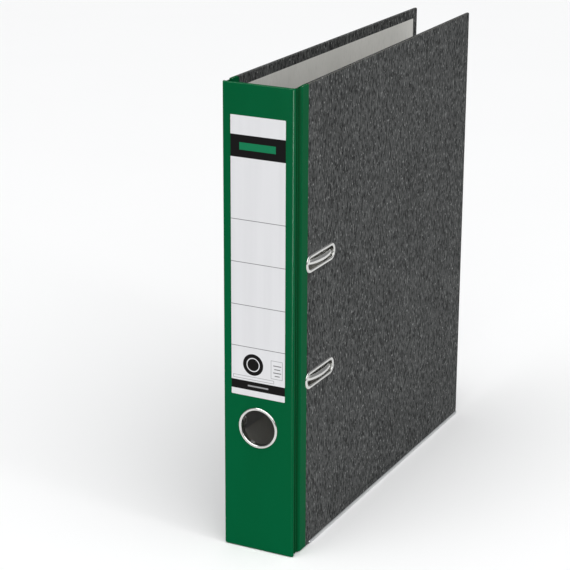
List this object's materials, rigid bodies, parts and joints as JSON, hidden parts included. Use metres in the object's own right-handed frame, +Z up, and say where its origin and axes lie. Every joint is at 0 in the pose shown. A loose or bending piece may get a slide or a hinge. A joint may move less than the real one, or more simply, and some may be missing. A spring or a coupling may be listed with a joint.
{
  "type": "lever arch file",
  "caption": "Narrow A4 lever arch file: hinged board case with label and thumb hole, slotted front cover, and a lever-operated two-ring mechanism.",
  "frame": {"origin": "middle of the bottom of the closed file's overall box, on the surface it stands on", "axes": "+Z up along the spine, +Y from the spine to the fore-edges, +X out of the front cover, the one with the ring slots"},
  "size_m": [0.0546, 0.286, 0.318],
  "materials": {
    "greyboard": "plain grey millboard, fibrous cut edge",
    "green_covering": "dark green film-coated covering with a fine grain, satin gloss",
    "lining_paper": "warm light grey recycled lining paper, matt",
    "marbled_paper": "dark grey cloud-marbled paper with light fibres running upright, matt",
    "label_paper": "smooth white label paper with plain black bars and thin grey rules",
    "nickel_plate": "bright nickel plate",
    "zinc_steel": "zinc-plated pressed steel, satin",
    "spring_steel": "plain spring steel",
    "turned_steel": "turned bright steel",
    "black_plastic": "black moulded polyacetal"
  },
  "bodies": {
    "spine": {"spine_board": "greyboard", "spine_cover": "green_covering", "spine_liner": "lining_paper", "spine_label": "label_paper", "thumb_ring": "nickel_plate", "thumb_ring_washer": "nickel_plate"},
    "front_cover": {"front_joint": "green_covering", "front_board": "greyboard", "front_strip": "green_covering", "front_paper": "marbled_paper", "front_liner": "lining_paper", "front_edge_guard": "zinc_steel", "upper_slot_liner": "nickel_plate", "lower_slot_liner": "nickel_plate"},
    "back_cover": {"back_joint": "green_covering", "back_board": "greyboard", "back_strip": "green_covering", "back_paper": "marbled_paper", "back_liner": "lining_paper", "back_edge_guard": "zinc_steel", "base_plate": "zinc_steel", "mechanism_rivets": "nickel_plate", "upper_post": "nickel_plate", "lower_post": "nickel_plate", "shaft_lugs": "zinc_steel", "lever_bracket": "zinc_steel", "lever_pin": "nickel_plate", "arch_spring": "spring_steel"},
    "arches": {"arch_wire": "nickel_plate"},
    "lever": {"lever": "nickel_plate", "roller_pin": "turned_steel"},
    "roller": {"roller": "turned_steel"},
    "compressor": {"compressor_bar": "nickel_plate", "compressor_bushes": "black_plastic"},
    "catch": {"compressor_catch": "spring_steel"}
  },
  "joints": [
    {"name": "front_cover_open", "type": "hinge", "parent": "spine", "child": "front_cover", "pos_m": [0.02207, -0.13897, 0.159], "axis": [0, 0, -1], "range_deg": [0, 180], "deforming": ["front_joint"]},
    {"name": "back_cover_open", "type": "hinge", "parent": "spine", "child": "back_cover", "pos_m": [-0.02393, -0.13897, 0.159], "axis": [0, 0, 1], "range_deg": [0, 90], "deforming": ["back_joint"]},
    {"name": "arch_open", "type": "hinge", "parent": "back_cover", "child": "arches", "pos_m": [-0.01927, -0.1191, 0.159], "axis": [0, 0, -1], "range_deg": [0, 81], "deforming": ["arch_spring"]},
    {"name": "lever_lift", "type": "hinge", "parent": "back_cover", "child": "lever", "pos_m": [-0.01159, -0.10931, 0.179], "axis": [-0.0279, -0.9996, 0], "range_deg": [0, 63]},
    {"name": "roller_turn", "type": "hinge", "parent": "lever", "child": "roller", "pos_m": [-0.01274, -0.10928, 0.162], "axis": [-0.0279, -0.9996, 0], "range_deg": [0, 180]},
    {"name": "compressor_slide", "type": "slide", "parent": "back_cover", "child": "compressor", "axis": [0.9996, -0.0279, 0], "range_m": [0, 0.032]},
    {"name": "catch_push", "type": "slide", "parent": "compressor", "child": "catch", "axis": [0, 0, 1], "range_m": [0, 0.0025], "stiffness_N_per_m": 200}
  ],
  "couplings": [
    {"joint": "arch_open", "follows": "back_cover_open", "ratio": 0.9},
    {"joint": "lever_lift", "follows": "back_cover_open", "ratio": 0.7},
    {"joint": "roller_turn", "follows": "back_cover_open", "ratio": 2}
  ]
}
